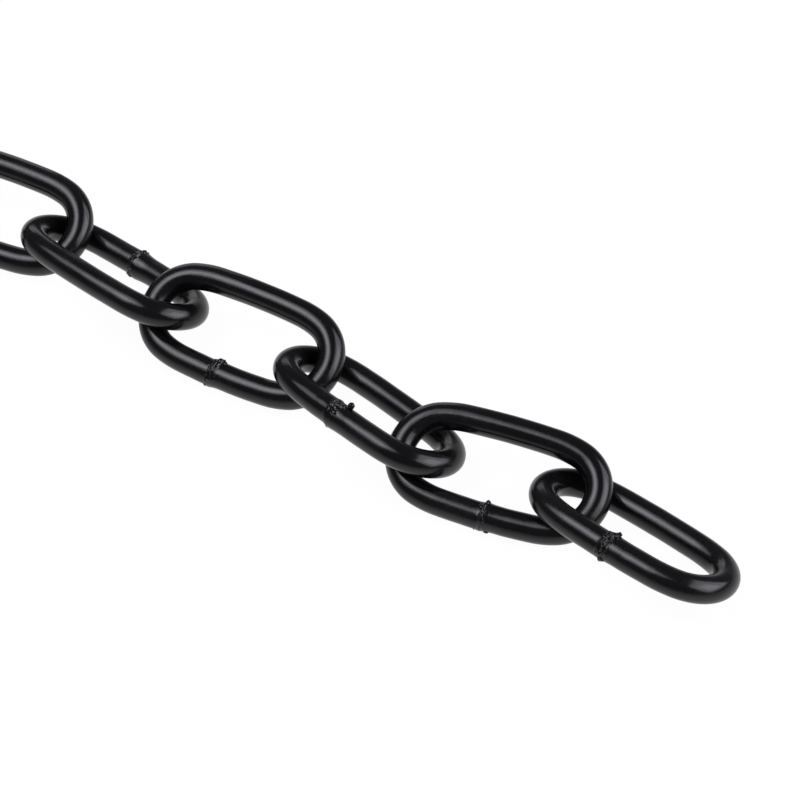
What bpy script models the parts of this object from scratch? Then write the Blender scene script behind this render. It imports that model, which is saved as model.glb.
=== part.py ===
"""A metre of black welded long-link steel chain, laid out straight on a level floor.

The chain lies along X with its free end at +X. Each link is bent from one round wire into an
oval, leans on the floor on one leg, and hooks the next link's crown.
Units are metres, +Z is up.
"""

import math
from typing import NamedTuple

import bpy
from mathutils import Euler, Matrix, Vector

MM = 0.001

# One link: 8 mm wire and a 52 mm pitch, with 0.1 mm of paint on every surface
WIRE_DIAMETER = 8.2 * MM
EYE_LENGTH = 51.8 * MM
EYE_WIDTH = 19.0 * MM
# A leg bulges outwards a little, and turns this far on each side of its middle
LEG_BOW = math.radians(3.5)
# Between a leg and a crown the wire's centreline turns this far, in a bend of this radius
SHOULDER_BOW = math.radians(13.5)
SHOULDER_RADIUS = 31.0 * MM

# Fineness of the mesh: sides round the wire, and steps along each crown, shoulder and leg.
# A crown and a leg have an odd number, so that each has a flat facet in its middle.
BEVEL_RESOLUTION = 4
WIRE_SIDES = 4 + 2 * BEVEL_RESOLUTION
CROWN_STEPS = 9
SHOULDER_STEPS = 2
LEG_STEPS = 3

# Worked out from the link
WIRE_RADIUS = WIRE_DIAMETER / 2
HALF_WIDTH = (EYE_WIDTH + WIRE_DIAMETER) / 2
HALF_LENGTH = (EYE_LENGTH + WIRE_DIAMETER) / 2
QUARTER = math.pi / 2
CROWN_BOW = QUARTER - SHOULDER_BOW - LEG_BOW
# The crown's and the leg's radius are those that let the three arcs run into each other
CROWN_RADIUS, LEG_RADIUS = Matrix((
    (1.0 - math.cos(CROWN_BOW), math.sin(LEG_BOW)),
    (math.sin(CROWN_BOW), 1.0 - math.cos(LEG_BOW)),
)).inverted() @ Vector((
    HALF_LENGTH - SHOULDER_RADIUS * (math.cos(CROWN_BOW) - math.sin(LEG_BOW)),
    HALF_WIDTH + SHOULDER_RADIUS * (math.sin(CROWN_BOW) - math.cos(LEG_BOW)),
))
CROWN_CENTRE = Vector((HALF_LENGTH - CROWN_RADIUS, 0.0, 0.0))
LEG_CENTRE = Vector((0.0, HALF_WIDTH - LEG_RADIUS, 0.0))
SHOULDER_CENTRE = CROWN_CENTRE + (CROWN_RADIUS - SHOULDER_RADIUS) * Vector((
    math.cos(CROWN_BOW),
    math.sin(CROWN_BOW),
    0.0,
))
HALF_FACET = math.pi / WIRE_SIDES
FACET_DEPTH = WIRE_RADIUS * math.cos(HALF_FACET)

PAINT_BLACK = (0.012, 0.012, 0.014, 1.0)
PAINT_ROUGHNESS = 0.28


class Lay(NamedTuple):
    """How one link lies on the floor, seen from above.

    lean_deg turns the link about its long axis, so that it rests on one leg.
    yaw_deg turns it on the floor, away from the line of the chain.
    advance is the step from the previous link's centre, along the chain.
    side is how far its centre sits off the line of the chain.
    """

    lean_deg: float
    yaw_deg: float
    advance: float
    side: float


# The links at the free end lie as they were photographed, a little slack and uneven
FREE_END = (
    Lay(-25.0, -6.0, 0.0, 0.0),
    Lay(26.5, 12.4, 44.5 * MM, -1.6 * MM),
    Lay(-28.3, -10.6, 44.75 * MM, -2.2 * MM),
    Lay(31.0, 4.7, 48.8 * MM, 1.7 * MM),
    Lay(-29.5, -6.3, 48.45 * MM, 2.8 * MM),
    Lay(30.5, 7.5, 48.5 * MM, 4.6 * MM),
)

# The rest of the metre repeats a pair of links that lean and turn opposite ways
LINK_COUNT = 19
TAIL_LEAN_DEG = 29.0
TAIL_YAW_DEG = 5.5
TAIL_ADVANCE = 48.6 * MM
TAIL_SIDE = 3.0 * MM


class Link(NamedTuple):
    """One link's place: its name, centre, turn and the seat of its hinge along its own X."""

    name: str
    centre: Vector
    turn: Euler
    lean: float
    seat: float


def clear_scene() -> None:
    """Remove every object that the file opened with."""
    for existing in list(bpy.data.objects):
        bpy.data.objects.remove(existing)


def black_paint() -> bpy.types.Material:
    """Glossy black paint over steel."""
    material = bpy.data.materials.new("black_paint")
    material.use_nodes = True
    shader = material.node_tree.nodes["Principled BSDF"]
    shader.inputs["Base Color"].default_value = PAINT_BLACK
    shader.inputs["Roughness"].default_value = PAINT_ROUGHNESS
    shader.inputs["Metallic"].default_value = 0.0
    return material


def lay_of(index: int) -> Lay:
    """The lay of link number index, counted from 0 at the free end."""
    if index < len(FREE_END):
        return FREE_END[index]
    hand = 1.0 if index % 2 else -1.0
    return Lay(hand * TAIL_LEAN_DEG, hand * TAIL_YAW_DEG, TAIL_ADVANCE, TAIL_SIDE)


def reach(link: Link, direction: Vector) -> float:
    """How far a link's outside reaches from its centre in a unit direction."""
    local = link.turn.to_matrix().transposed() @ direction
    side = Vector((abs(local.x), abs(local.y), 0.0))
    angle = math.atan2(side.y, side.x)
    if angle > QUARTER - LEG_BOW:
        return side.dot(LEG_CENTRE) + side.length * LEG_RADIUS + WIRE_RADIUS
    if angle > CROWN_BOW:
        return side.dot(SHOULDER_CENTRE) + side.length * SHOULDER_RADIUS + WIRE_RADIUS
    return side.dot(CROWN_CENTRE) + side.length * CROWN_RADIUS + WIRE_RADIUS


def middle(links: list[Link], axis: int) -> float:
    """The middle of the whole chain's extent along one world axis."""
    direction = Vector((0.0, 0.0, 0.0))
    direction[axis] = 1.0
    high = max(link.centre[axis] + reach(link, direction) for link in links)
    low = min(link.centre[axis] - reach(link, direction) for link in links)
    return (high + low) / 2


def chain_links() -> list[Link]:
    """Every link's place, with the chain centred on the origin and its lowest facets at z = 0."""
    links = []
    along = 0.0
    for index in range(LINK_COUNT):
        lay = lay_of(index)
        along -= lay.advance
        lean = math.radians(lay.lean_deg)
        height = HALF_WIDTH * math.sin(abs(lean)) + FACET_DEPTH
        centre = Vector((along, lay.side, height))
        turn = Euler((lean, 0.0, math.radians(lay.yaw_deg)))
        # A link hinges on the crown of the link before it, which crosses its own long axis here
        seat = lay.advance - HALF_LENGTH if index else 0.0
        links.append(Link(f"link_{index + 1:02d}", centre, turn, lean, seat))
    offset = Vector((middle(links, 0), middle(links, 1), 0.0))
    return [link._replace(centre=link.centre - offset) for link in links]


def arc(centre: Vector, radius: float, start: float, end: float, steps: int) -> list[Vector]:
    """Points along an arc, from angle start to end, whose straight steps touch it halfway."""
    half_step = (end - start) / steps / 2
    out = radius / math.cos(half_step)
    angles = [start + 2 * step * half_step for step in range(steps + 1)]
    return [centre + Vector((math.cos(angle), math.sin(angle), 0.0)) * out for angle in angles]


def link_outline() -> list[Vector]:
    """The wire's centreline round one link: a crown, a shoulder, a leg, and so on round."""
    crown = arc(CROWN_CENTRE, CROWN_RADIUS, -CROWN_BOW, CROWN_BOW, CROWN_STEPS)
    shoulder = arc(SHOULDER_CENTRE, SHOULDER_RADIUS, CROWN_BOW, QUARTER - LEG_BOW, SHOULDER_STEPS)
    leg = arc(LEG_CENTRE, LEG_RADIUS, QUARTER - LEG_BOW, QUARTER + LEG_BOW, LEG_STEPS)
    other_shoulder = [Vector((-point.x, point.y, 0.0)) for point in reversed(shoulder)]
    half = crown + shoulder[1:-1] + leg + other_shoulder[1:-1]
    return half + [-point for point in half]


def make_link(link: Link, paint: bpy.types.Material, parts: bpy.types.Collection) -> bpy.types.Object:
    """One closed wire link whose origin is on the axis that it swings about."""
    curve = bpy.data.curves.new(link.name, "CURVE")
    curve.dimensions = "3D"
    curve.twist_mode = "Z_UP"
    curve.bevel_depth = WIRE_RADIUS
    curve.bevel_resolution = BEVEL_RESOLUTION
    curve.materials.append(paint)
    outline = link_outline()
    spline = curve.splines.new("POLY")
    spline.points.add(len(outline) - 1)
    # The wire's facets are turned so that one of them lies flat on the floor
    facet_turn = HALF_FACET - abs(link.lean)
    for point, place in zip(spline.points, outline):
        point.co = (place.x - link.seat, place.y, place.z, 1.0)
        point.tilt = facet_turn
    spline.use_cyclic_u = True
    spline.use_smooth = True
    link_object = bpy.data.objects.new(link.name, curve)
    link_object.rotation_euler = link.turn
    link_object.location = link.centre + link.turn.to_matrix() @ Vector((link.seat, 0.0, 0.0))
    parts.objects.link(link_object)
    return link_object


def main() -> None:
    """Build the chain, link by link, under one empty."""
    clear_scene()
    parts = bpy.data.collections.new("welded_chain")
    bpy.context.scene.collection.children.link(parts)
    root = bpy.data.objects.new("chain_origin", None)
    parts.objects.link(root)
    paint = black_paint()
    for link in chain_links():
        make_link(link, paint, parts).parent = root


if __name__ == "__main__":
    main()
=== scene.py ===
"""Looks for a metre of black welded long-link steel chain, laid out on a pale studio floor.

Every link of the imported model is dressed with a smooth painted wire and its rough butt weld.
"""

import logging
import math
from dataclasses import dataclass
from enum import Enum
from random import Random

import bmesh
import bpy
import numpy as np
from mathutils import Matrix, Vector, noise


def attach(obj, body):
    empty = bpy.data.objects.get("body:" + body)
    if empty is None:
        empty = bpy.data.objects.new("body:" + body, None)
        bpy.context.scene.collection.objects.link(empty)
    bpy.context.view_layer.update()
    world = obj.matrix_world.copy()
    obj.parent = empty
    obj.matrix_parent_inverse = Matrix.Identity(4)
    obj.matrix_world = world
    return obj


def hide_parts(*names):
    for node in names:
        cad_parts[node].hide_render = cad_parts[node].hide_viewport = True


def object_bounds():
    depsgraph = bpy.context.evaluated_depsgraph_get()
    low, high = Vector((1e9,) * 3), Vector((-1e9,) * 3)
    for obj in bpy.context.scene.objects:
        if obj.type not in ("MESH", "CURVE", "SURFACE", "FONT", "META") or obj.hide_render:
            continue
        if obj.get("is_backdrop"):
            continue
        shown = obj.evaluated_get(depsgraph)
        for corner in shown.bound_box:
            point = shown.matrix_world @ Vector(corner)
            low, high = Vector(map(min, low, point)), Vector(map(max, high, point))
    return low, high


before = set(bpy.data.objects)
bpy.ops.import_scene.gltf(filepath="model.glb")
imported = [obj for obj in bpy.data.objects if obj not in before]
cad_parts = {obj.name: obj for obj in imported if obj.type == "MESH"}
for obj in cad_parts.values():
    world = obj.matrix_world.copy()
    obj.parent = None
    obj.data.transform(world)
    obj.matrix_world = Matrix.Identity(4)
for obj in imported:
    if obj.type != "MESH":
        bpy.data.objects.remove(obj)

MM = 0.001
LOG = logging.getLogger("chain")


class WeldLeg(Enum):
    """The leg that carries a link's weld, by the half turn that puts it there."""

    NEAR = 0.0
    FAR = math.pi


@dataclass(frozen=True)
class Ridge:
    """A ridge of weld flash that runs round the wire. Lengths are in metres.

    offset is where it sits along the leg, from the joint between the wire's ends.
    height and width are its size, and slant how far it leans over from one side to the other.
    crest_deg is the side where it stands highest, and span_deg how far round it reaches.
    """

    offset: float
    height: float
    width: float
    slant: float
    crest_deg: float
    span_deg: float


@dataclass(frozen=True)
class Lump:
    """A smooth lump of melted steel that froze on the wire. Lengths are in metres.

    turn_deg goes round the wire, from the link's outside towards its upper face.
    length runs along the leg and width round the wire, both from the lump's middle.
    """

    offset: float
    turn_deg: float
    height: float
    length: float
    width: float


@dataclass(frozen=True)
class Bead:
    """A bead or hook of spatter that stands off the wire. Lengths are in metres.

    rise is how far its middle is above the wire, and stretch how much taller it is than wide.
    """

    offset: float
    turn_deg: float
    radius: float
    rise: float
    stretch: float = 1.0
    lean: float = 0.0


@dataclass(frozen=True)
class Weld:
    """A butt weld in the middle of a leg: how the wire's ends meet, and the flash on them.

    along is how far the weld is from the leg's middle. swell thickens the wire's ends over
    swell_reach on each side, and step shifts one end past the other towards step_deg.
    """

    leg: WeldLeg
    along: float
    swell: float
    swell_reach: tuple[float, float]
    step: float
    step_deg: float
    grit: float
    ridges: tuple[Ridge, ...]
    lumps: tuple[Lump, ...]
    beads: tuple[Bead, ...]
    seed: int


# The welds that the photograph shows, from the free end
SEEN_WELDS = (
    Weld(
        leg=WeldLeg.NEAR, along=0.0, swell=0.20 * MM, swell_reach=(1.6 * MM, 1.6 * MM),
        step=0.30 * MM, step_deg=60.0, grit=0.20 * MM,
        ridges=(
            Ridge(-1.5 * MM, 0.55 * MM, 0.38 * MM, 0.4 * MM, 45.0, 80.0),
            Ridge(-0.3 * MM, 0.75 * MM, 0.40 * MM, -0.4 * MM, 15.0, 110.0),
            Ridge(0.9 * MM, 0.65 * MM, 0.42 * MM, -0.3 * MM, 75.0, 90.0),
        ),
        lumps=(
            Lump(-1.3 * MM, 58.0, 0.70 * MM, 0.8 * MM, 0.9 * MM),
            Lump(1.3 * MM, 86.0, 0.95 * MM, 1.1 * MM, 0.9 * MM),
            Lump(0.3 * MM, -42.0, 0.55 * MM, 1.2 * MM, 0.9 * MM),
        ),
        beads=(
            Bead(0.8 * MM, 100.0, 0.45 * MM, 0.50 * MM, 1.3, 0.4),
            Bead(1.4 * MM, 103.0, 0.42 * MM, 1.05 * MM, 1.2, 0.8),
            Bead(2.0 * MM, 100.0, 0.40 * MM, 0.95 * MM, 1.0, 1.2),
            Bead(2.2 * MM, 96.0, 0.34 * MM, 0.35 * MM, 1.3, -0.2),
        ),
        seed=11,
    ),
    Weld(
        leg=WeldLeg.NEAR, along=0.1 * MM, swell=0.22 * MM, swell_reach=(1.2 * MM, 2.2 * MM),
        step=0.20 * MM, step_deg=165.0, grit=0.08 * MM,
        ridges=(
            Ridge(-0.1 * MM, 0.50 * MM, 0.42 * MM, 0.2 * MM, 95.0, 85.0),
            Ridge(0.8 * MM, 0.25 * MM, 0.30 * MM, -0.1 * MM, 60.0, 60.0),
        ),
        lumps=(
            Lump(-0.9 * MM, 118.0, 0.45 * MM, 1.1 * MM, 0.8 * MM),
            Lump(0.4 * MM, 152.0, 0.80 * MM, 0.9 * MM, 0.9 * MM),
            Lump(-6.6 * MM, 122.0, 0.30 * MM, 0.9 * MM, 0.5 * MM),
            Lump(1.9 * MM, -8.0, 0.40 * MM, 0.7 * MM, 0.7 * MM),
            Lump(4.0 * MM, -10.0, 0.30 * MM, 0.9 * MM, 0.6 * MM),
        ),
        beads=(
            Bead(0.4 * MM, 158.0, 0.50 * MM, 0.45 * MM, 1.1, 0.2),
            Bead(-1.9 * MM, -16.0, 0.25 * MM, 0.10 * MM),
        ),
        seed=23,
    ),
    Weld(
        leg=WeldLeg.NEAR, along=-1.9 * MM, swell=0.18 * MM, swell_reach=(1.6 * MM, 2.6 * MM),
        step=0.36 * MM, step_deg=250.0, grit=0.07 * MM,
        ridges=(
            Ridge(-0.9 * MM, 0.35 * MM, 0.35 * MM, 0.2 * MM, 60.0, 60.0),
            Ridge(0.9 * MM, 0.60 * MM, 0.50 * MM, 1.0 * MM, 75.0, 45.0),
            Ridge(0.0, 0.16 * MM, 0.22 * MM, 0.0, -50.0, 70.0),
        ),
        lumps=(
            Lump(-0.2 * MM, 48.0, 0.75 * MM, 1.1 * MM, 1.0 * MM),
            Lump(1.4 * MM, 66.0, 0.80 * MM, 1.3 * MM, 0.8 * MM),
            Lump(2.8 * MM, 78.0, 0.75 * MM, 1.2 * MM, 0.9 * MM),
            Lump(1.6 * MM, 34.0, 0.55 * MM, 1.2 * MM, 0.8 * MM),
            Lump(4.6 * MM, 92.0, 0.40 * MM, 1.6 * MM, 0.9 * MM),
        ),
        beads=(
            Bead(3.9 * MM, 97.0, 1.05 * MM, 0.85 * MM, 1.05, 0.1),
        ),
        seed=37,
    ),
    Weld(
        leg=WeldLeg.NEAR, along=-2.5 * MM, swell=0.22 * MM, swell_reach=(1.4 * MM, 1.6 * MM),
        step=0.20 * MM, step_deg=160.0, grit=0.11 * MM,
        ridges=(
            Ridge(-1.1 * MM, 0.42 * MM, 0.34 * MM, 0.2 * MM, 60.0, 130.0),
            Ridge(0.1 * MM, 0.50 * MM, 0.36 * MM, -0.2 * MM, 95.0, 80.0),
            Ridge(1.2 * MM, 0.55 * MM, 0.42 * MM, -0.2 * MM, 110.0, 75.0),
        ),
        lumps=(
            Lump(1.2 * MM, 150.0, 0.95 * MM, 1.5 * MM, 1.0 * MM),
            Lump(2.4 * MM, 154.0, 0.65 * MM, 1.1 * MM, 0.8 * MM),
            Lump(-5.4 * MM, 106.0, 0.40 * MM, 1.2 * MM, 0.5 * MM),
            Lump(-7.4 * MM, 158.0, 0.35 * MM, 0.5 * MM, 0.5 * MM),
            Lump(0.2 * MM, 52.0, 0.45 * MM, 0.8 * MM, 0.8 * MM),
        ),
        beads=(
            Bead(1.9 * MM, 158.0, 0.42 * MM, 0.62 * MM, 1.1, 0.5),
            Bead(-0.6 * MM, -14.0, 0.26 * MM, 0.12 * MM),
        ),
        seed=41,
    ),
    Weld(
        leg=WeldLeg.FAR, along=1.1 * MM, swell=0.46 * MM, swell_reach=(3.4 * MM, 0.9 * MM),
        step=0.18 * MM, step_deg=80.0, grit=0.09 * MM,
        ridges=(
            Ridge(0.2 * MM, 0.55 * MM, 0.36 * MM, 0.4 * MM, 170.0, 150.0),
            Ridge(1.3 * MM, 0.45 * MM, 0.36 * MM, 0.3 * MM, 140.0, 80.0),
        ),
        lumps=(
            Lump(-0.1 * MM, 86.0, 0.70 * MM, 0.8 * MM, 0.9 * MM),
            Lump(1.2 * MM, 128.0, 0.45 * MM, 0.7 * MM, 0.8 * MM),
            Lump(1.1 * MM, 238.0, 0.65 * MM, 0.9 * MM, 1.0 * MM),
        ),
        beads=(),
        seed=53,
    ),
)


def unseen_weld(index: int) -> Weld:
    """A weld like the photographed ones, for a link outside the photograph.

    Args:
        index: The link's number, counted from 0 at the free end.

    Returns:
        A weld whose flash differs from link to link in the same way on each run.
    """
    pick = Random(1000 + index)
    crest = pick.uniform(20.0, 160.0)
    ridges = tuple(
        Ridge(
            offset=(place - 0.5) * 1.2 * MM + pick.uniform(-0.2, 0.2) * MM,
            height=pick.uniform(0.35, 0.70) * MM,
            width=pick.uniform(0.32, 0.48) * MM,
            slant=pick.uniform(-0.5, 0.5) * MM,
            crest_deg=crest + pick.uniform(-40.0, 40.0),
            span_deg=pick.uniform(50.0, 130.0),
        )
        for place in range(pick.choice((1, 2, 2, 3)))
    )
    lumps = tuple(
        Lump(
            offset=pick.uniform(-1.6, 2.2) * MM,
            turn_deg=crest + pick.uniform(-60.0, 60.0),
            height=pick.uniform(0.4, 0.9) * MM,
            length=pick.uniform(0.7, 1.4) * MM,
            width=pick.uniform(0.6, 1.0) * MM,
        )
        for _ in range(pick.randint(2, 4))
    )
    beads = tuple(
        Bead(
            offset=pick.uniform(-1.5, 3.0) * MM,
            turn_deg=crest + pick.uniform(-30.0, 40.0),
            radius=pick.uniform(0.35, 0.80) * MM,
            rise=pick.uniform(0.2, 0.6) * MM,
            stretch=pick.uniform(1.0, 1.3),
            lean=pick.uniform(-0.4, 0.4),
        )
        for _ in range(pick.choice((0, 1, 1, 2)))
    )
    return Weld(
        leg=pick.choice((WeldLeg.NEAR, WeldLeg.NEAR, WeldLeg.FAR)),
        along=pick.uniform(-2.0, 2.0) * MM,
        swell=pick.uniform(0.15, 0.40) * MM,
        swell_reach=(pick.uniform(1.2, 3.0) * MM, pick.uniform(1.2, 3.0) * MM),
        step=pick.uniform(0.12, 0.36) * MM,
        step_deg=pick.uniform(0.0, 360.0),
        grit=pick.uniform(0.07, 0.18) * MM,
        ridges=ridges,
        lumps=lumps,
        beads=beads,
        seed=100 + index,
    )


def bell(distance: float, width: float) -> float:
    """A smooth bump: 1 at no distance, and near 0 at twice the width."""
    return math.exp(-(distance / width) ** 2)


def ring_noise(turn: float, seed: float, fineness: float = 1.0) -> float:
    """Noise from -1 to 1 that closes on itself round the wire.

    Args:
        turn: The angle round the wire, in radians.
        seed: Picks another pattern.
        fineness: How many times finer the pattern is.

    Returns:
        The noise at that angle.
    """
    place = Vector((math.cos(turn), math.sin(turn), 0.0)) * fineness
    return noise.noise(place + Vector((0.0, 0.0, seed * 7.31)))


class PaintEffects:
    """The node groups that the painted finishes share, each built once."""

    def __init__(self) -> None:
        """Build the groups."""
        self.film = self._film()
        self.dust = self._dust()

    @staticmethod
    def _new_group(name: str, inputs: dict[str, float], outputs: tuple[str, ...]) -> bpy.types.NodeTree:
        """An empty group with a Vector input and the named numbers.

        Args:
            name: The group's name.
            inputs: Each number input and its default.
            outputs: The names of the number outputs.

        Returns:
            The group, with its input and output nodes in it.
        """
        group = bpy.data.node_groups.new(name, "ShaderNodeTree")
        group.interface.new_socket("Vector", in_out="INPUT", socket_type="NodeSocketVector")
        for label, value in inputs.items():
            group.interface.new_socket(label, in_out="INPUT", socket_type="NodeSocketFloat").default_value = value
        for label in outputs:
            group.interface.new_socket(label, in_out="OUTPUT", socket_type="NodeSocketFloat")
        group.nodes.new("NodeGroupInput")
        group.nodes.new("NodeGroupOutput")
        return group

    @classmethod
    def _film(cls) -> bpy.types.NodeTree:
        """The relief of a thick brushed or dipped paint film.

        Returns:
            A group that gives the film's height and a mask of its pits.
        """
        group = cls._new_group(
            "paint_film",
            {"Peel Scale": 900.0, "Ripple Scale": 160.0, "Ripple": 1.0, "Pit Scale": 260.0, "Pit Size": 0.10},
            ("Height", "Pits"),
        )
        nodes, links = group.nodes, group.links
        given, result = nodes["Group Input"], nodes["Group Output"]

        peel = nodes.new("ShaderNodeTexNoise")
        peel.inputs["Detail"].default_value = 2.0
        peel.inputs["Roughness"].default_value = 0.45
        links.new(given.outputs["Vector"], peel.inputs["Vector"])
        links.new(given.outputs["Peel Scale"], peel.inputs["Scale"])

        ripple = nodes.new("ShaderNodeTexNoise")
        ripple.inputs["Detail"].default_value = 1.0
        links.new(given.outputs["Vector"], ripple.inputs["Vector"])
        links.new(given.outputs["Ripple Scale"], ripple.inputs["Scale"])
        deep_ripple = nodes.new("ShaderNodeMath")
        deep_ripple.operation = "MULTIPLY"
        links.new(ripple.outputs["Fac"], deep_ripple.inputs[0])
        links.new(given.outputs["Ripple"], deep_ripple.inputs[1])

        cells = nodes.new("ShaderNodeTexVoronoi")
        cells.feature = "F1"
        links.new(given.outputs["Vector"], cells.inputs["Vector"])
        links.new(given.outputs["Pit Scale"], cells.inputs["Scale"])
        dimple = nodes.new("ShaderNodeMapRange")
        dimple.interpolation_type = "SMOOTHSTEP"
        dimple.inputs["From Min"].default_value = 0.0
        dimple.inputs["To Min"].default_value = 1.0
        dimple.inputs["To Max"].default_value = 0.0
        links.new(cells.outputs["Distance"], dimple.inputs["Value"])
        links.new(given.outputs["Pit Size"], dimple.inputs["From Max"])
        chance = nodes.new("ShaderNodeSeparateColor")
        links.new(cells.outputs["Color"], chance.inputs["Color"])
        chosen = nodes.new("ShaderNodeMath")
        chosen.operation = "GREATER_THAN"
        chosen.inputs[1].default_value = 0.45
        links.new(chance.outputs["Red"], chosen.inputs[0])
        pits = nodes.new("ShaderNodeMath")
        pits.operation = "MULTIPLY"
        links.new(dimple.outputs["Result"], pits.inputs[0])
        links.new(chosen.outputs["Value"], pits.inputs[1])

        uneven = nodes.new("ShaderNodeMath")
        uneven.operation = "ADD"
        links.new(peel.outputs["Fac"], uneven.inputs[0])
        links.new(deep_ripple.outputs["Value"], uneven.inputs[1])
        height = nodes.new("ShaderNodeMath")
        height.operation = "SUBTRACT"
        links.new(uneven.outputs["Value"], height.inputs[0])
        links.new(pits.outputs["Value"], height.inputs[1])
        links.new(height.outputs["Value"], result.inputs["Height"])
        links.new(pits.outputs["Value"], result.inputs["Pits"])
        return group

    @classmethod
    def _dust(cls) -> bpy.types.NodeTree:
        """Where a little dust and handling dull the paint.

        Returns:
            A group that gives a soft mask of the dulled places.
        """
        group = cls._new_group("paint_dust", {"Patch Scale": 70.0, "Speck Scale": 1400.0}, ("Dulled",))
        nodes, links = group.nodes, group.links
        given, result = nodes["Group Input"], nodes["Group Output"]
        patch = nodes.new("ShaderNodeTexNoise")
        patch.inputs["Detail"].default_value = 3.0
        links.new(given.outputs["Vector"], patch.inputs["Vector"])
        links.new(given.outputs["Patch Scale"], patch.inputs["Scale"])
        speck = nodes.new("ShaderNodeTexNoise")
        speck.inputs["Detail"].default_value = 2.0
        links.new(given.outputs["Vector"], speck.inputs["Vector"])
        links.new(given.outputs["Speck Scale"], speck.inputs["Scale"])
        both = nodes.new("ShaderNodeMath")
        both.operation = "MULTIPLY"
        links.new(patch.outputs["Fac"], both.inputs[0])
        links.new(speck.outputs["Fac"], both.inputs[1])
        mask = nodes.new("ShaderNodeMapRange")
        mask.interpolation_type = "SMOOTHSTEP"
        mask.inputs["From Min"].default_value = 0.18
        mask.inputs["From Max"].default_value = 0.42
        links.new(both.outputs["Value"], mask.inputs["Value"])
        links.new(mask.outputs["Result"], result.inputs["Dulled"])
        return group


@dataclass(frozen=True)
class BlackPaint:
    """Glossy black paint over steel, thick enough to run smooth over the wire.

    relief is the height of the film's unevenness in metres. The scales are per metre.
    """

    name: str
    colour: tuple[float, float, float]
    dulled: tuple[float, float, float]
    roughness: float
    dulled_roughness: float
    relief: float
    peel_scale: float
    ripple_scale: float
    ripple: float
    pit_scale: float
    pit_size: float

    def material(self, effects: PaintEffects) -> bpy.types.Material:
        """Mix the paint.

        Args:
            effects: The shared node groups.

        Returns:
            The material, which reads the pieces' own object coordinates.
        """
        material = bpy.data.materials.new(self.name)
        material.use_nodes = True
        nodes, links = material.node_tree.nodes, material.node_tree.links
        shader = nodes["Principled BSDF"]
        place = nodes.new("ShaderNodeTexCoord")

        film = nodes.new("ShaderNodeGroup")
        film.node_tree = effects.film
        film.inputs["Peel Scale"].default_value = self.peel_scale
        film.inputs["Ripple Scale"].default_value = self.ripple_scale
        film.inputs["Ripple"].default_value = self.ripple
        film.inputs["Pit Scale"].default_value = self.pit_scale
        film.inputs["Pit Size"].default_value = self.pit_size
        links.new(place.outputs["Object"], film.inputs["Vector"])
        bump = nodes.new("ShaderNodeBump")
        bump.inputs["Strength"].default_value = 1.0
        bump.inputs["Distance"].default_value = self.relief
        links.new(film.outputs["Height"], bump.inputs["Height"])
        links.new(bump.outputs["Normal"], shader.inputs["Normal"])

        dust = nodes.new("ShaderNodeGroup")
        dust.node_tree = effects.dust
        links.new(place.outputs["Object"], dust.inputs["Vector"])
        colour = nodes.new("ShaderNodeMix")
        colour.data_type = "RGBA"
        colour.inputs["A"].default_value = (*self.colour, 1.0)
        colour.inputs["B"].default_value = (*self.dulled, 1.0)
        links.new(dust.outputs["Dulled"], colour.inputs["Factor"])
        links.new(colour.outputs["Result"], shader.inputs["Base Color"])
        gloss = nodes.new("ShaderNodeMapRange")
        gloss.inputs["To Min"].default_value = self.roughness
        gloss.inputs["To Max"].default_value = self.dulled_roughness
        links.new(dust.outputs["Dulled"], gloss.inputs["Value"])
        links.new(gloss.outputs["Result"], shader.inputs["Roughness"])

        shader.inputs["Metallic"].default_value = 0.0
        shader.inputs["IOR"].default_value = 1.5
        return material


WIRE_PAINT = BlackPaint(
    name="wire_black_paint",
    colour=(0.0032, 0.0032, 0.0042),
    dulled=(0.0065, 0.0065, 0.0075),
    roughness=0.17,
    dulled_roughness=0.25,
    relief=0.010 * MM,
    peel_scale=600.0,
    ripple_scale=190.0,
    ripple=6.0,
    pit_scale=260.0,
    pit_size=0.12,
)
WELD_PAINT = BlackPaint(
    name="weld_black_paint",
    colour=(0.0035, 0.0035, 0.004),
    dulled=(0.008, 0.008, 0.008),
    roughness=0.16,
    dulled_roughness=0.28,
    relief=0.020 * MM,
    peel_scale=1200.0,
    ripple_scale=450.0,
    ripple=2.0,
    pit_scale=800.0,
    pit_size=0.25,
)


@dataclass(frozen=True)
class LinkPlace:
    """Where one link lies: its centre, and its long, side and face directions as columns."""

    centre: Vector
    turn: Matrix

    @classmethod
    def of_node(cls, node: str) -> "LinkPlace":
        """Read a link's place from its solid in the frame.

        Args:
            node: The solid's name.

        Returns:
            The place, with the long direction towards the free end and the side one away from the camera.
        """
        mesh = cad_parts[node].data
        corners = np.empty(len(mesh.vertices) * 3, np.float32)
        mesh.vertices.foreach_get("co", corners)
        points = np.unique(np.round(corners.reshape(-1, 3).astype(float), 6), axis=0)
        centre = points.mean(axis=0)
        _, directions = np.linalg.eigh(np.cov((points - centre).T))
        along = directions[:, 2] * math.copysign(1.0, directions[0, 2])
        across = directions[:, 1] * math.copysign(1.0, directions[1, 1])
        face = np.cross(along, across)
        return cls(Vector(centre), Matrix((along, across, face)).transposed())

    def matrix(self, weld_leg: WeldLeg) -> Matrix:
        """The placing of a link that was built with its weld on the near leg.

        Args:
            weld_leg: The leg that the weld belongs on.

        Returns:
            The matrix from the link's own space to the frame.
        """
        placed = Matrix.Translation(self.centre) @ self.turn.to_4x4()
        return placed @ Matrix.Rotation(weld_leg.value, 4, "Z")


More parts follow.
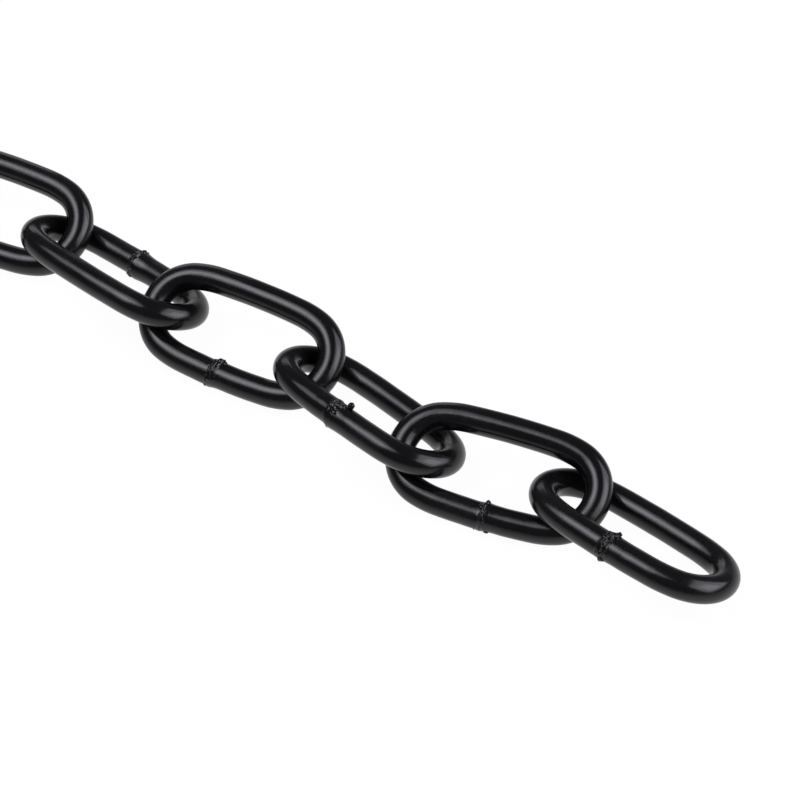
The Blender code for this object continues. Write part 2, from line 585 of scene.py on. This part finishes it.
@dataclass(frozen=True)
class LinkShape:
    """The centreline of a link's wire: a crown at each end, a bowed leg on each side, and between
    each of these a shoulder. All of them are arcs that run into each other.

    The near leg is centred at +leg_centre on the link's side axis and the crown towards +X at
    +crown_centre on its long one. The shoulder between these two is centred at shoulder_centre.
    """

    eye_length: float = 51.8 * MM
    eye_width: float = 19.0 * MM
    wire_radius: float = 4.1 * MM
    leg_bow: float = math.radians(3.5)
    shoulder_bow: float = math.radians(13.5)
    shoulder_radius: float = 31.0 * MM

    @property
    def half_width(self) -> float:
        """From the link's middle to the middle of a leg."""
        return self.eye_width / 2 + self.wire_radius

    @property
    def half_length(self) -> float:
        """From the link's middle to the middle of a crown."""
        return self.eye_length / 2 + self.wire_radius

    @property
    def crown_bow(self) -> float:
        """How far a crown turns on each side of its middle."""
        return math.pi / 2 - self.leg_bow - self.shoulder_bow

    @property
    def _radii(self) -> Vector:
        """The radius of a crown and of a leg with which the arcs run into each other."""
        crown, leg = self.crown_bow, self.leg_bow
        shares = Matrix(((1.0 - math.cos(crown), math.sin(leg)), (math.sin(crown), 1.0 - math.cos(leg))))
        return shares.inverted() @ Vector((
            self.half_length - self.shoulder_radius * (math.cos(crown) - math.sin(leg)),
            self.half_width + self.shoulder_radius * (math.sin(crown) - math.cos(leg)),
        ))

    @property
    def crown_centre(self) -> float:
        """Where a crown's arc is centred."""
        return self.half_length - self._radii[0]

    @property
    def leg_radius(self) -> float:
        """The radius of a leg's arc."""
        return self._radii[1]

    @property
    def leg_centre(self) -> float:
        """Where a leg's arc is centred."""
        return self.leg_radius - self.half_width

    @property
    def shoulder_centre(self) -> Vector:
        """Where the arc between the near leg and the crown towards +X is centred."""
        inwards = self.shoulder_radius - self._radii[0]
        return Vector((
            self.crown_centre - inwards * math.cos(self.crown_bow),
            inwards * math.sin(self.crown_bow),
            0.0,
        ))


@dataclass
class ChainLink:
    """One link: a bent wire with its ends butt-welded in the middle of a leg.

    In the link's space X is its long direction, Y goes from the near leg to the far one, and
    Z stands on its face. In the weld's space X runs along the leg's arc from the weld, Y
    points out of the link and Z is the same.
    """

    node: str
    place: LinkPlace
    weld: Weld
    shape: LinkShape = LinkShape()
    sides: int = 72
    crown_steps: int = 30
    shoulder_steps: int = 5
    leg_step: float = 1.6 * MM
    weld_step: float = 0.20 * MM
    weld_reach: float = 6.0 * MM
    flash_step: float = 0.14 * MM
    flash_reach: tuple[float, float] = (-2.6 * MM, 3.4 * MM)
    flash_sides: int = 150
    buried: float = 0.15 * MM
    waviness: float = 0.050 * MM

    def build(self, wire_paint: bpy.types.Material, weld_paint: bpy.types.Material) -> list[bpy.types.Object]:
        """Make the link's pieces and hand them to their body.

        Args:
            wire_paint: The finish of the wire.
            weld_paint: The finish of the weld flash.

        Returns:
            The wire and the weld flash.
        """
        wire = self._finish(self._wire(), f"{self.node}_wire", wire_paint)
        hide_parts(self.node)
        flash = self._finish(self._flash(), f"{self.node}_weld_flash", weld_paint)
        return [wire, flash]

    def _to_weld(self, point: Vector) -> Vector:
        """A point of the near leg from the link's space to the weld's."""
        away = Vector((point.x, self.shape.leg_centre - point.y))
        along = math.atan2(away.x, away.y) * self.shape.leg_radius - self.weld.along
        return Vector((along, away.length - self.shape.leg_radius, point.z))

    def _from_weld(self, point: Vector) -> Vector:
        """A point from the weld's space, bent onto the near leg in the link's."""
        angle = (point.x + self.weld.along) / self.shape.leg_radius
        reach = point.y + self.shape.leg_radius
        return Vector((math.sin(angle) * reach, self.shape.leg_centre - math.cos(angle) * reach, point.z))

    @staticmethod
    def _outward(turn: float) -> Vector:
        """The direction out of the wire at a turn round it, in the weld's space."""
        return Vector((0.0, math.cos(turn), math.sin(turn)))

    def _seam(self, turn: float) -> float:
        """How far the seam between the wire's ends wanders along the leg at a turn."""
        return 0.40 * MM * ring_noise(turn, self.weld.seed, 1.3)

    def _wire(self) -> bmesh.types.BMesh:
        """Sweep the wire round the link from the weld back to it, and shape its ends.

        Returns:
            The closed wire in the link's space.
        """
        shape = self.shape
        leg, crown = Vector((0.0, shape.leg_centre, 0.0)), Vector((shape.crown_centre, 0.0, 0.0))
        shoulder = shape.shoulder_centre
        shoulder_behind = Vector((-shoulder.x, shoulder.y, 0.0))
        start = self.weld.along / shape.leg_radius
        fine_steps = round(self.weld_reach / self.weld_step)
        fine = self.weld_reach / shape.leg_radius
        ahead, behind = shape.leg_bow - start - fine, shape.leg_bow + start - fine
        coarse_step = self.leg_step / shape.leg_radius
        arcs = (
            (leg, fine, fine_steps),
            (leg, ahead, round(ahead / coarse_step)),
            (shoulder, shape.shoulder_bow, self.shoulder_steps),
            (crown, 2.0 * shape.crown_bow, self.crown_steps),
            (-shoulder_behind, shape.shoulder_bow, self.shoulder_steps),
            (-leg, 2.0 * shape.leg_bow, round(2.0 * shape.leg_bow / coarse_step)),
            (-shoulder, shape.shoulder_bow, self.shoulder_steps),
            (-crown, 2.0 * shape.crown_bow, self.crown_steps),
            (shoulder_behind, shape.shoulder_bow, self.shoulder_steps),
            (leg, behind, round(behind / coarse_step)),
            (leg, fine, fine_steps),
        )
        wire = bmesh.new()
        upright = Matrix.Translation((0.0, -shape.half_width, 0.0)) @ Matrix.Rotation(math.pi / 2, 4, "Y")
        to_weld = Matrix.Translation(leg) @ Matrix.Rotation(start, 4, "Z") @ Matrix.Translation(-leg)
        bmesh.ops.create_circle(wire, segments=self.sides, radius=shape.wire_radius, matrix=to_weld @ upright)
        end = wire.edges[:]
        for centre, angle, steps in arcs:
            end = self._bend(wire, end, centre, angle, steps)
        bmesh.ops.remove_doubles(wire, verts=wire.verts[:], dist=0.001 * MM)
        bmesh.ops.recalc_face_normals(wire, faces=wire.faces[:])
        for vertex in wire.verts:
            vertex.co += self._wave(vertex)
        for vertex in wire.verts:
            if vertex.co.y < 0.0 and abs(self._to_weld(vertex.co).x) < self.weld_reach:
                vertex.co = self._from_weld(self._upset(self._to_weld(vertex.co)))
        return wire

    @staticmethod
    def _bend(wire: bmesh.types.BMesh, end: list[bmesh.types.BMEdge], centre: Vector, angle: float,
              steps: int) -> list[bmesh.types.BMEdge]:
        """Extrude the wire's open end along an arc in the link's plane.

        Args:
            wire: The wire so far.
            end: The edges of its open end.
            centre: The arc's centre.
            angle: How far the arc turns.
            steps: How many steps it is made in.

        Returns:
            The edges of the new open end.
        """
        bent = bmesh.ops.spin(
            wire, geom=end, cent=centre, axis=(0.0, 0.0, 1.0), angle=angle, steps=steps, use_duplicate=False,
        )
        return [part for part in bent["geom_last"] if isinstance(part, bmesh.types.BMEdge)]

    def _wave(self, vertex: bmesh.types.BMVert) -> Vector:
        """The slight unevenness of drawn and painted wire at a vertex."""
        place = vertex.co / (7.0 * MM) + Vector((self.weld.seed * 3.7, 0.0, 0.0))
        return vertex.normal * self.waviness * noise.noise(place)

    def _swelling(self, along: float, turn: float) -> float:
        """How much thicker the wire's ends were pressed at a place.

        Args:
            along: The distance from the weld.
            turn: The angle round the wire.

        Returns:
            The added radius.
        """
        weld = self.weld
        from_seam = along - self._seam(turn)
        reach = weld.swell_reach[0] if from_seam < 0.0 else weld.swell_reach[1]
        uneven = 1.0 + 0.5 * ring_noise(turn, weld.seed + 1, 1.5)
        return weld.swell * uneven * bell(from_seam, reach)

    def _shift(self, along: float, turn: float) -> Vector:
        """How far the wire is shifted sideways there, because its ends don't quite meet."""
        weld = self.weld
        fade = 1.0 - min(abs(along) / self.weld_reach, 1.0) ** 2
        side = math.tanh((along - self._seam(turn)) / (0.16 * MM)) * fade
        return self._outward(math.radians(weld.step_deg)) * (0.5 * weld.step * side)

    def _upset(self, point: Vector) -> Vector:
        """Where a point of the wire's ends goes as they are pressed together.

        Args:
            point: A point in the weld's space.

        Returns:
            The point, with the swell, step and grit of the weld.
        """
        turn = math.atan2(point.z, point.y)
        fade = 1.0 - min(abs(point.x) / self.weld_reach, 1.0) ** 2
        from_seam = point.x - self._seam(turn)
        grain = noise.fractal(point / (0.9 * MM), 1.0, 2.0, 4) * self.weld.grit * bell(from_seam, 1.9 * MM)
        radius = math.hypot(point.y, point.z) + (self._swelling(point.x, turn) + grain) * fade
        return Vector((point.x, 0.0, 0.0)) + self._outward(turn) * radius + self._shift(point.x, turn)

    def _flash(self) -> bmesh.types.BMesh:
        """Raise the ridges, lumps and beads of flash on the weld.

        Returns:
            The flash in the link's space. Where it isn't raised it lies buried in the wire.
        """
        flash = bmesh.new()
        self._add_sleeve(flash)
        for number, bead in enumerate(self.weld.beads):
            self._add_bead(flash, bead, number)
        for vertex in flash.verts:
            vertex.co = self._from_weld(vertex.co)
        bmesh.ops.recalc_face_normals(flash, faces=flash.faces[:])
        return flash

    def _add_sleeve(self, flash: bmesh.types.BMesh) -> None:
        """Put a sleeve round the wire, just under its surface, and raise the flash out of it.

        Args:
            flash: The flash so far, in the weld's space.
        """
        low, high = self.flash_reach
        steps = round((high - low) / self.flash_step)
        under = self.shape.wire_radius - self.buried
        upright = Matrix.Translation((low, 0.0, 0.0)) @ Matrix.Rotation(math.pi / 2, 4, "Y")
        end = bmesh.ops.create_circle(flash, cap_ends=True, segments=self.flash_sides, radius=under, matrix=upright)
        rim = list(dict.fromkeys(edge for vertex in end["verts"] for edge in vertex.link_edges))
        for _ in range(steps):
            made = bmesh.ops.extrude_edge_only(flash, edges=rim)["geom"]
            moved = [part for part in made if isinstance(part, bmesh.types.BMVert)]
            bmesh.ops.translate(flash, vec=((high - low) / steps, 0.0, 0.0), verts=moved)
            rim = [part for part in made if isinstance(part, bmesh.types.BMEdge)]
        bmesh.ops.contextual_create(flash, geom=rim)
        for vertex in flash.verts:
            along, turn = vertex.co.x, math.atan2(vertex.co.z, vertex.co.y)
            inside = min(along - low, high - along) / (0.5 * MM)
            raised = self._relief(along, turn) * min(max(inside, 0.0), 1.0)
            out = self.shape.wire_radius + self._swelling(along, turn) + raised - self.buried
            vertex.co = Vector((along, 0.0, 0.0)) + self._outward(turn) * out + self._shift(along, turn)

    def _relief(self, along: float, turn: float) -> float:
        """How high the flash stands at a place, counted from where it lies buried.

        Args:
            along: The distance from the weld.
            turn: The angle round the wire.

        Returns:
            The height, with the ridges and lumps run together.
        """
        radius = self.shape.wire_radius
        place = Vector((along, radius * math.cos(turn), radius * math.sin(turn)))
        stray = noise.noise_vector(place / (1.1 * MM) + Vector((self.weld.seed, 0.0, 0.0))) * 0.38 * MM
        along_strayed, turn_strayed = along + stray.x, turn + stray.y / radius
        heights = [self._ridge(ridge, number, along_strayed, turn_strayed)
                   for number, ridge in enumerate(self.weld.ridges)]
        heights += [self._lump(lump, along_strayed, turn_strayed) for lump in self.weld.lumps]
        merged = sum(height ** 5 for height in heights if height > 0.0) ** 0.2
        grain = noise.fractal(place / (0.7 * MM), 1.0, 2.0, 2)
        return merged * (1.0 + 0.08 * grain)

    def _ridge(self, ridge: Ridge, number: int, along: float, turn: float) -> float:
        """How high one ridge stands at a place.

        Args:
            ridge: The ridge.
            number: Its number, which picks its pattern.
            along: The distance from the weld.
            turn: The angle round the wire.

        Returns:
            The height over the buried sleeve.
        """
        seed = self.weld.seed + 10 * (number + 1)
        past_crest = math.remainder(turn - math.radians(ridge.crest_deg), math.tau)
        reach = bell(past_crest, math.radians(ridge.span_deg))
        uneven = 1.0 + 0.6 * ring_noise(turn, seed, 1.5) + 0.3 * ring_noise(turn, seed + 3, 4.0)
        middle = ridge.offset + self._seam(turn) + ridge.slant * math.sin(past_crest)
        middle += 0.35 * MM * ring_noise(turn, seed + 7, 2.2)
        return (ridge.height * max(uneven, 0.1) + self.buried) * reach * bell(along - middle, ridge.width)

    def _lump(self, lump: Lump, along: float, turn: float) -> float:
        """How high one lump stands at a place.

        Args:
            lump: The lump.
            along: The distance from the weld.
            turn: The angle round the wire.

        Returns:
            The height over the buried sleeve.
        """
        past = math.remainder(turn - math.radians(lump.turn_deg), math.tau) * self.shape.wire_radius
        away = math.hypot((along - lump.offset) / lump.length, past / lump.width)
        return (lump.height + self.buried) * math.sqrt(max(0.0, 1.0 - away ** 2))

    def _add_bead(self, flash: bmesh.types.BMesh, bead: Bead, number: int) -> None:
        """Freeze one bead of spatter onto the wire.

        Args:
            flash: The flash so far, in the weld's space.
            bead: The bead.
            number: Its number, which picks its pattern.
        """
        turn = math.radians(bead.turn_deg)
        outward = self._outward(turn)
        middle = Vector((bead.offset, 0.0, 0.0)) + outward * (self.shape.wire_radius + bead.rise)
        tip = (outward + Vector((bead.lean, 0.0, 0.0))).normalized()
        lift = Vector((0.0, 0.0, 1.0)).rotation_difference(tip)
        seed = Vector((self.weld.seed + number, 5.0, 2.0))
        for vertex in bmesh.ops.create_icosphere(flash, subdivisions=3, radius=1.0)["verts"]:
            unit = vertex.co.copy()
            rough = 1.0 + 0.16 * noise.noise(unit * 1.4 + seed) + 0.05 * noise.noise(unit * 4.0 + seed)
            shaped = Vector((unit.x, unit.y, unit.z * bead.stretch)) * bead.radius * rough
            vertex.co = middle + lift @ shaped

    def _finish(self, shape: bmesh.types.BMesh, name: str, paint: bpy.types.Material) -> bpy.types.Object:
        """Place a shape in the frame, keep it off the floor, and make it ride on its body.

        Args:
            shape: The shape in the link's space, which this uses up.
            name: The piece's name.
            paint: Its finish.

        Returns:
            The piece, with its place in its mesh.
        """
        bmesh.ops.transform(shape, matrix=self.place.matrix(self.weld.leg), verts=shape.verts[:])
        low, high = CAD_BOX
        for vertex in shape.verts:
            for axis in range(3):
                vertex.co[axis] = min(max(vertex.co[axis], low[axis]), high[axis])
        mesh = bpy.data.meshes.new(name)
        shape.to_mesh(mesh)
        shape.free()
        mesh.shade_smooth()
        mesh.materials.append(paint)
        piece = bpy.data.objects.new(name, mesh)
        bpy.context.scene.collection.objects.link(piece)
        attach(piece, self.node)
        return piece


@dataclass(frozen=True)
class Softbox:
    """A studio softbox, by the direction that it is seen in from the chain.

    azimuth_deg turns from +X towards +Y. wide_deg and tall_deg are how large it looks from
    the chain, and radiance is how bright its face is beside a white floor of 1.
    """

    name: str
    azimuth_deg: float
    elevation_deg: float
    wide_deg: float
    tall_deg: float
    radiance: float
    distance: float = 2.4
    colour: tuple[float, float, float] = (1.0, 0.99, 1.07)

    def hang(self, target: Vector) -> bpy.types.Object:
        """Hang the softbox, facing the target.

        Args:
            target: The point that it lights.

        Returns:
            The light.
        """
        azimuth, elevation = math.radians(self.azimuth_deg), math.radians(self.elevation_deg)
        flat = math.cos(elevation)
        towards = Vector((math.cos(azimuth) * flat, math.sin(azimuth) * flat, math.sin(elevation)))
        lamp = bpy.data.lights.new(self.name, "AREA")
        lamp.shape = "RECTANGLE"
        lamp.size = 2.0 * self.distance * math.tan(math.radians(self.wide_deg / 2))
        lamp.size_y = 2.0 * self.distance * math.tan(math.radians(self.tall_deg / 2))
        lamp.color = self.colour
        lamp.energy = math.pi * self.radiance * lamp.size * lamp.size_y
        hung = bpy.data.objects.new(self.name, lamp)
        hung.location = target + towards * self.distance
        hung.rotation_mode = "QUATERNION"
        hung.rotation_quaternion = towards.to_track_quat("Z", "Y")
        hung.visible_camera = False
        bpy.context.scene.collection.objects.link(hung)
        return hung


@dataclass(frozen=True)
class Studio:
    """The pale floor, the softboxes over it and the dim room round them."""

    target: Vector
    softboxes: tuple[Softbox, ...]
    floor_size: float = 14.0
    floor_seen: float = 0.965
    # The floor's glow in reflections, from grazing to steep rays: painted shade that stands in for its light
    # falling off far from the chain.
    floor_reflected_painted_falloff: tuple[float, float] = (0.25, 0.74)
    floor_colour: tuple[float, float, float] = (0.06, 0.06, 0.06)
    room: tuple[float, float, float] = (0.10, 0.10, 0.11)
    backdrop: tuple[float, float, float] = (0.98, 0.98, 0.98)

    def set_up(self) -> None:
        """Lay the floor, hang the lights and fill the room."""
        self._lay_floor()
        for softbox in self.softboxes:
            softbox.hang(self.target)
        self._fill_room()
        bpy.context.scene.view_settings.view_transform = "Standard"

    def _lay_floor(self) -> None:
        """Lay a white floor that glows, and that is dimmer in the paint, most of all where it is far off. That
        dimming is painted shade: its glow in reflections falls towards grazing rays.
        """
        shape = bmesh.new()
        bmesh.ops.create_grid(shape, x_segments=2, y_segments=2, size=self.floor_size / 2)
        mesh = bpy.data.meshes.new("studio_floor")
        shape.to_mesh(mesh)
        shape.free()
        material = bpy.data.materials.new("white_floor")
        material.use_nodes = True
        nodes, links = material.node_tree.nodes, material.node_tree.links
        shader = nodes["Principled BSDF"]
        shader.inputs["Base Color"].default_value = (*self.floor_colour, 1.0)
        shader.inputs["Roughness"].default_value = 0.9
        shader.inputs["Specular IOR Level"].default_value = 0.0
        shader.inputs["Emission Color"].default_value = (1.0, 1.0, 1.0, 1.0)
        geometry = nodes.new("ShaderNodeNewGeometry")
        steepness = nodes.new("ShaderNodeSeparateXYZ")
        links.new(geometry.outputs["Incoming"], steepness.inputs["Vector"])
        # Painted shade: the glow that the paint reflects is dimmed towards grazing rays, where the floor is far
        # off.
        painted_falloff = nodes.new("ShaderNodeMapRange")
        painted_falloff.inputs["From Max"].default_value = 0.5
        painted_falloff.inputs["To Min"].default_value = self.floor_reflected_painted_falloff[0]
        painted_falloff.inputs["To Max"].default_value = self.floor_reflected_painted_falloff[1]
        links.new(steepness.outputs["Z"], painted_falloff.inputs["Value"])
        seen = nodes.new("ShaderNodeLightPath")
        glow = nodes.new("ShaderNodeMix")
        glow.inputs["B"].default_value = self.floor_seen
        links.new(seen.outputs["Is Camera Ray"], glow.inputs["Factor"])
        links.new(painted_falloff.outputs["Result"], glow.inputs["A"])
        links.new(glow.outputs["Result"], shader.inputs["Emission Strength"])
        mesh.materials.append(material)
        floor = bpy.data.objects.new("studio_floor", mesh)
        floor.location = (0.0, 0.0, -0.0002)
        bpy.context.scene.collection.objects.link(floor)
        floor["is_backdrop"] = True

    def _fill_room(self) -> None:
        """Make the room dim for reflections and white behind the floor."""
        world = bpy.data.worlds.new("studio_room")
        bpy.context.scene.world = world
        world.use_nodes = True
        nodes, links = world.node_tree.nodes, world.node_tree.links
        nodes.clear()
        output = nodes.new("ShaderNodeOutputWorld")
        dim = nodes.new("ShaderNodeBackground")
        dim.inputs["Color"].default_value = (*self.room, 1.0)
        pale = nodes.new("ShaderNodeBackground")
        pale.inputs["Color"].default_value = (*self.backdrop, 1.0)
        seen = nodes.new("ShaderNodeLightPath")
        mixed = nodes.new("ShaderNodeMixShader")
        links.new(seen.outputs["Is Camera Ray"], mixed.inputs["Fac"])
        links.new(dim.outputs["Background"], mixed.inputs[1])
        links.new(pale.outputs["Background"], mixed.inputs[2])
        links.new(mixed.outputs["Shader"], output.inputs["Surface"])


@dataclass(frozen=True)
class PhotoCamera:
    """The camera at the photograph's angle, placed round the point that it looks at.

    azimuth_deg turns it from the -Y side towards +X, and focal_px is its focal length in
    pixels of a square frame that is frame_px wide.
    """

    target: Vector
    azimuth_deg: float
    elevation_deg: float
    roll_deg: float
    distance: float
    focal_px: float
    frame_px: float = 800.0

    def set_up(self) -> None:
        """Place the camera and make it the scene's own."""
        azimuth, elevation = math.radians(self.azimuth_deg), math.radians(self.elevation_deg)
        flat = math.cos(elevation)
        back = Vector((math.sin(azimuth) * flat, -math.cos(azimuth) * flat, math.sin(elevation)))
        data = bpy.data.cameras.new("photo_camera")
        data.sensor_width = 36.0
        data.lens = self.focal_px / self.frame_px * data.sensor_width
        data.clip_start = 0.02
        data.clip_end = 60.0
        camera = bpy.data.objects.new("photo_camera", data)
        aim = (-back).to_track_quat("-Z", "Y").to_matrix().to_4x4()
        roll = Matrix.Rotation(math.radians(self.roll_deg), 4, "Z")
        camera.matrix_world = Matrix.Translation(self.target + back * self.distance) @ aim @ roll
        bpy.context.scene.collection.objects.link(camera)
        bpy.context.scene.camera = camera


CAD_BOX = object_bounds()

PHOTOGRAPHED = Vector((0.34920, 0.00620, 0.010))
SOFTBOXES = (
    Softbox("key_softbox", 24.5, 35.0, 68.0, 46.0, 1.9),
    Softbox("key_lamp", 21.0, 32.0, 34.0, 26.0, 1.7, 2.3),
    Softbox("top_softbox", -143.0, 60.0, 42.0, 40.0, 1.7),
    Softbox("top_lamp", -139.0, 60.0, 23.0, 19.0, 3.0, 2.3),
    Softbox("side_panel", 136.0, 10.0, 28.0, 24.0, 0.8),
)


def main() -> None:
    """Dress the chain link by link, then set up the studio and the camera."""
    logging.basicConfig(level=logging.INFO, format="%(message)s")
    PhotoCamera(PHOTOGRAPHED, 33.77, 46.83, -0.17, 0.9555, 3242.0).set_up()
    effects = PaintEffects()
    wire_paint = WIRE_PAINT.material(effects)
    weld_paint = WELD_PAINT.material(effects)
    for index, node in enumerate(sorted(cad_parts)):
        weld = SEEN_WELDS[index] if index < len(SEEN_WELDS) else unseen_weld(index)
        for piece in ChainLink(node, LinkPlace.of_node(node), weld).build(wire_paint, weld_paint):
            LOG.info("%s: %d faces", piece.name, len(piece.data.polygons))
    Studio(PHOTOGRAPHED, SOFTBOXES).set_up()


if __name__ == "__main__":
    main()
